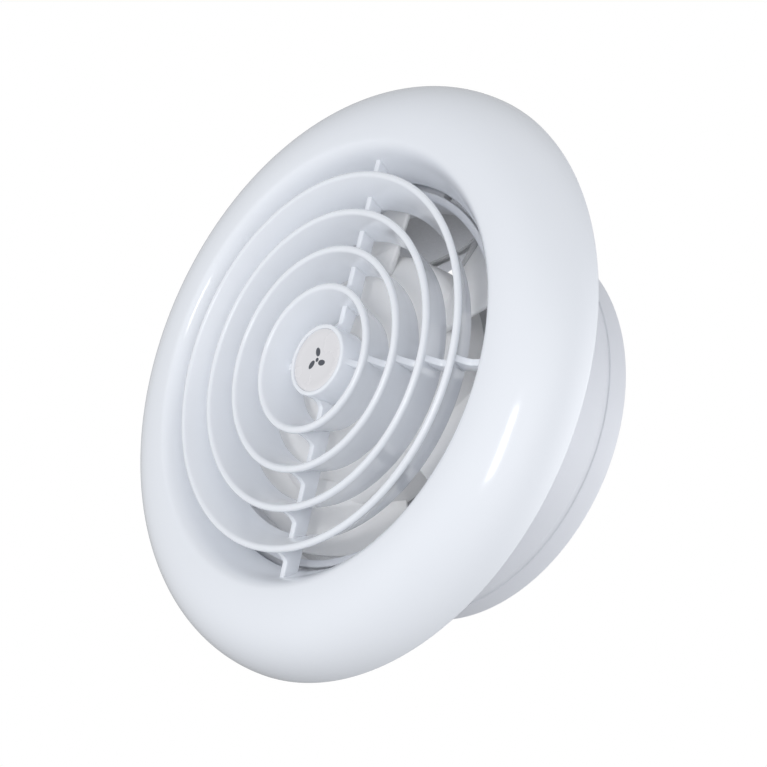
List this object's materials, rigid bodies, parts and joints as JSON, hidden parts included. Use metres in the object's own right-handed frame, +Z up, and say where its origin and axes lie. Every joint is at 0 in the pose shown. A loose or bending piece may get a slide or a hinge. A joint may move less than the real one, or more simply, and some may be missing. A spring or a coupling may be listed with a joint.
{
  "type": "axial extractor fan",
  "caption": "Round ceiling or wall extractor fan: domed bezel with a concentric-ring grille, bladed impeller on a small motor, and a short round duct spigot behind.",
  "frame": {"origin": "centre of the mounting plane, where the fan axis crosses the back of the bezel rim and flange", "axes": "-Y faces the room (grille side), +Y runs back along the fan axis into the duct, +Z is up on the face, +X is to the right seen from the room. For a ceiling the part is turned about X so that -Y points down."},
  "size_m": [0.18, 0.0688, 0.18],
  "materials": {
    "cover_white": "gloss, moulded",
    "badge_white": "satin print",
    "housing_white": "semi-gloss, moulded",
    "carrier_grey": "matt, moulded",
    "impeller_cream": "fine matt",
    "insulator_grey": "matt",
    "terminal_cream": "matt",
    "nylon_natural": "satin",
    "lead_pvc": "satin",
    "rubber_black": "matt",
    "brass": "machined",
    "sintered_bronze": "porous matt",
    "copper_enamel": "enamelled",
    "copper_bare": "drawn",
    "lamination": "stamped edges",
    "zinc_sheet": "zinc plated",
    "zinc_steel": "zinc plated",
    "spring_steel": "blued",
    "ground_steel": "ground",
    "cast_aluminium": "as cast",
    "felt": "oiled felt"
  },
  "bodies": {
    "housing": {"duct_housing": "housing_white", "motor_carrier": "carrier_grey", "cable_grommet": "rubber_black", "cable_clamp": "insulator_grey", "cable_clamp_screws": "zinc_steel", "terminal_block": "terminal_cream", "terminal_inserts": "brass", "terminal_screws": "zinc_steel", "terminal_cover": "insulator_grey", "terminal_cover_screw": "zinc_steel", "motor_leads": "lead_pvc", "front_bracket": "zinc_sheet", "rear_bracket": "zinc_sheet", "stator_core": "lamination", "coil_bobbins": "nylon_natural", "coil_windings": "copper_enamel", "shading_rings": "copper_bare", "front_bush": "sintered_bronze", "rear_bush": "sintered_bronze", "oil_felts": "felt", "bearing_retainers": "spring_steel", "motor_screws": "zinc_steel", "motor_dampers": "rubber_black"},
    "rotor": {"impeller": "impeller_cream", "impeller_clip": "spring_steel", "motor_shaft": "ground_steel", "rotor_core": "lamination", "rotor_end_rings": "cast_aluminium", "thrust_washers": "nylon_natural"},
    "cover": {"front_cover": "cover_white", "centre_badge": "badge_white"}
  },
  "joints": [
    {"name": "impeller_spin", "type": "hinge", "parent": "housing", "child": "rotor", "pos_m": [0, 0.019, 0], "axis": [0, 1, 0], "continuous": true},
    {"name": "cover_pull_off", "type": "slide", "parent": "housing", "child": "cover", "axis": [0, -1, 0], "range_m": [0, 0.06]}
  ]
}
